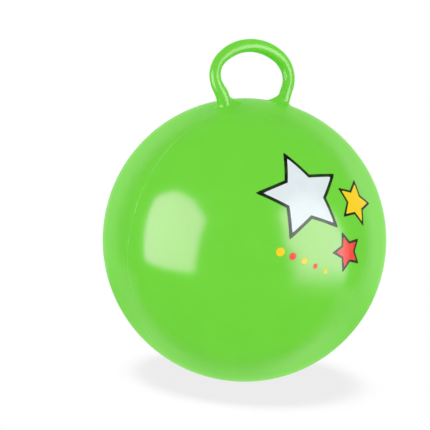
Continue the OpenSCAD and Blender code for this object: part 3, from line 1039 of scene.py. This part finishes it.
def studio_camera(studio, middle):
    """Camera at the photograph's viewing angle, with the ball's centre at its place in the picture."""
    picture, sensor, far_end = 430.0, 36.0, 60.0
    camera = bpy.data.cameras.new("camera")
    camera.sensor_width = sensor
    camera.lens = studio.lens
    camera.clip_end = far_end
    toward, turn = view_turn(studio)
    pixels = studio.lens / sensor * picture
    right, up = studio.aim[0] - 0.5 * picture, 0.5 * picture - studio.aim[1]
    sight = Vector((right, up, -pixels)).normalized()
    holder = bpy.data.objects.new("camera", camera)
    holder.rotation_mode = "QUATERNION"
    holder.rotation_quaternion = turn @ (-UP).rotation_difference(sight).inverted()
    holder.location = middle + studio.distance * toward
    bpy.context.scene.collection.objects.link(holder)
    bpy.context.scene.camera = holder


# Corners of each softbox, across and up, at its edge and where its cloth is fully bright
LEFT_CORNERS = (
    ((-0.64, -0.25), (-0.57, -0.18)), ((0.74, -0.34), (0.67, -0.27)), ((0.86, 1.01), (0.79, 0.94)),
    ((0.35, 1.33), (0.28, 1.26)), ((-0.29, 1.33), (-0.22, 1.26)), ((-0.80, 1.01), (-0.73, 0.94)))
RIGHT_CORNERS = (
    ((-0.62, -0.60), (-0.30, 0.20)), ((1.05, -0.66), (0.50, 0.16)), ((0.82, 0.35), (0.58, 0.30)),
    ((0.62, 1.00), (0.38, 0.86)), ((0.14, 1.92), (-0.04, 1.40)), ((-0.45, 1.92), (-0.36, 1.38)),
    ((-1.13, 1.52), (-0.80, 1.22)), ((-1.02, 0.42), (-0.66, 0.50)))


def softbox(name, studio, degrees, glow, corners):
    """Softbox to one side of the camera. It shows in the gloss alone and fades out at its edges."""
    way = camera_side(studio, degrees)
    across = UP.cross(way)
    places = [edge for edge, _ in corners] + [core for _, core in corners]
    points = [studio.softbox_distance * way + u * across + z * UP for u, z in places]
    count = len(corners)
    faces = [(i, (i + 1) % count, (i + 1) % count + count, i + count) for i in range(count)]
    mesh = bpy.data.meshes.new(name)
    mesh.from_pydata(points, [], faces + [tuple(range(count, 2 * count))])
    cloth = mesh.attributes.new("cloth", "FLOAT", "POINT")
    cloth.data.foreach_set("value", [0.0] * count + [1.0] * count)
    material, board, surface = bare_material(name)
    material.cycles.emission_sampling = "FRONT_BACK"
    share = board.add("ShaderNodeAttribute", out="Fac", attribute_name="cloth")
    bright = board.ramp(share, 0.0, 1.0, studio.room, glow)
    board.feed(surface, board.add("ShaderNodeEmission", studio.softbox_tint, bright))
    box = new_piece(name, mesh, material)
    box.visible_camera = box.visible_diffuse = box.visible_shadow = box.visible_transmission = False


class HOPPER_OT_studio(bpy.types.Operator):
    """Sets up the floor, the white room, the softboxes and the camera"""

    bl_idname = "hopper.studio"
    bl_label = "Studio"

    def execute(self, context):
        settings = context.scene.hopper_ball
        studio = settings.studio
        middle = Vector((0.0, 0.0, settings.ball.centre_height()))
        context.scene.view_settings.view_transform = "Standard"
        studio_world(studio)
        studio_floor(studio)
        softbox("softbox_left", studio, LEFT_SIDE, studio.left_glow, LEFT_CORNERS)
        softbox("softbox_right", studio, RIGHT_SIDE, studio.right_glow, RIGHT_CORNERS)
        studio_camera(studio, middle)
        return {"FINISHED"}


class HOPPER_PT_parts(bpy.types.Panel):
    """Lists the steps that dress the hopper ball"""

    bl_idname = "HOPPER_PT_parts"
    bl_label = "Hopper Ball"
    bl_space_type = "VIEW_3D"
    bl_region_type = "UI"
    bl_category = "Hopper Ball"

    def draw(self, context):
        settings = context.scene.hopper_ball
        for operator, group in (*STEPS, (None, "finish")):
            box = self.layout.box()
            if operator is None:
                box.label(text="Finish")
            else:
                box.operator(operator.bl_idname)
            values = getattr(settings, group)
            for key in values.bl_rna.properties.keys():
                if key not in {"rna_type", "name"}:
                    box.prop(values, key)


STEPS = ((HOPPER_OT_studio, "studio"), (HOPPER_OT_ball, "ball"), (HOPPER_OT_handle, "handle"),
         (HOPPER_OT_print, "print_sheet"), (HOPPER_OT_valve, "valve"))
CLASSES = (HOPPER_PG_ball, HOPPER_PG_handle, HOPPER_PG_print, HOPPER_PG_valve, HOPPER_PG_finish,
           HOPPER_PG_studio, HOPPER_PG_settings, *(operator for operator, _ in STEPS), HOPPER_PT_parts)


def register():
    for item in CLASSES:
        bpy.utils.register_class(item)
    bpy.types.Scene.hopper_ball = PointerProperty(type=HOPPER_PG_settings)


def unregister():
    del bpy.types.Scene.hopper_ball
    for item in reversed(CLASSES):
        bpy.utils.unregister_class(item)


def main():
    """Registers the add-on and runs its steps."""
    register()
    bpy.ops.hopper.studio()
    bpy.ops.hopper.ball()
    bpy.ops.hopper.handle()
    bpy.ops.hopper.print()
    bpy.ops.hopper.valve()


if __name__ == "__main__":
    main()
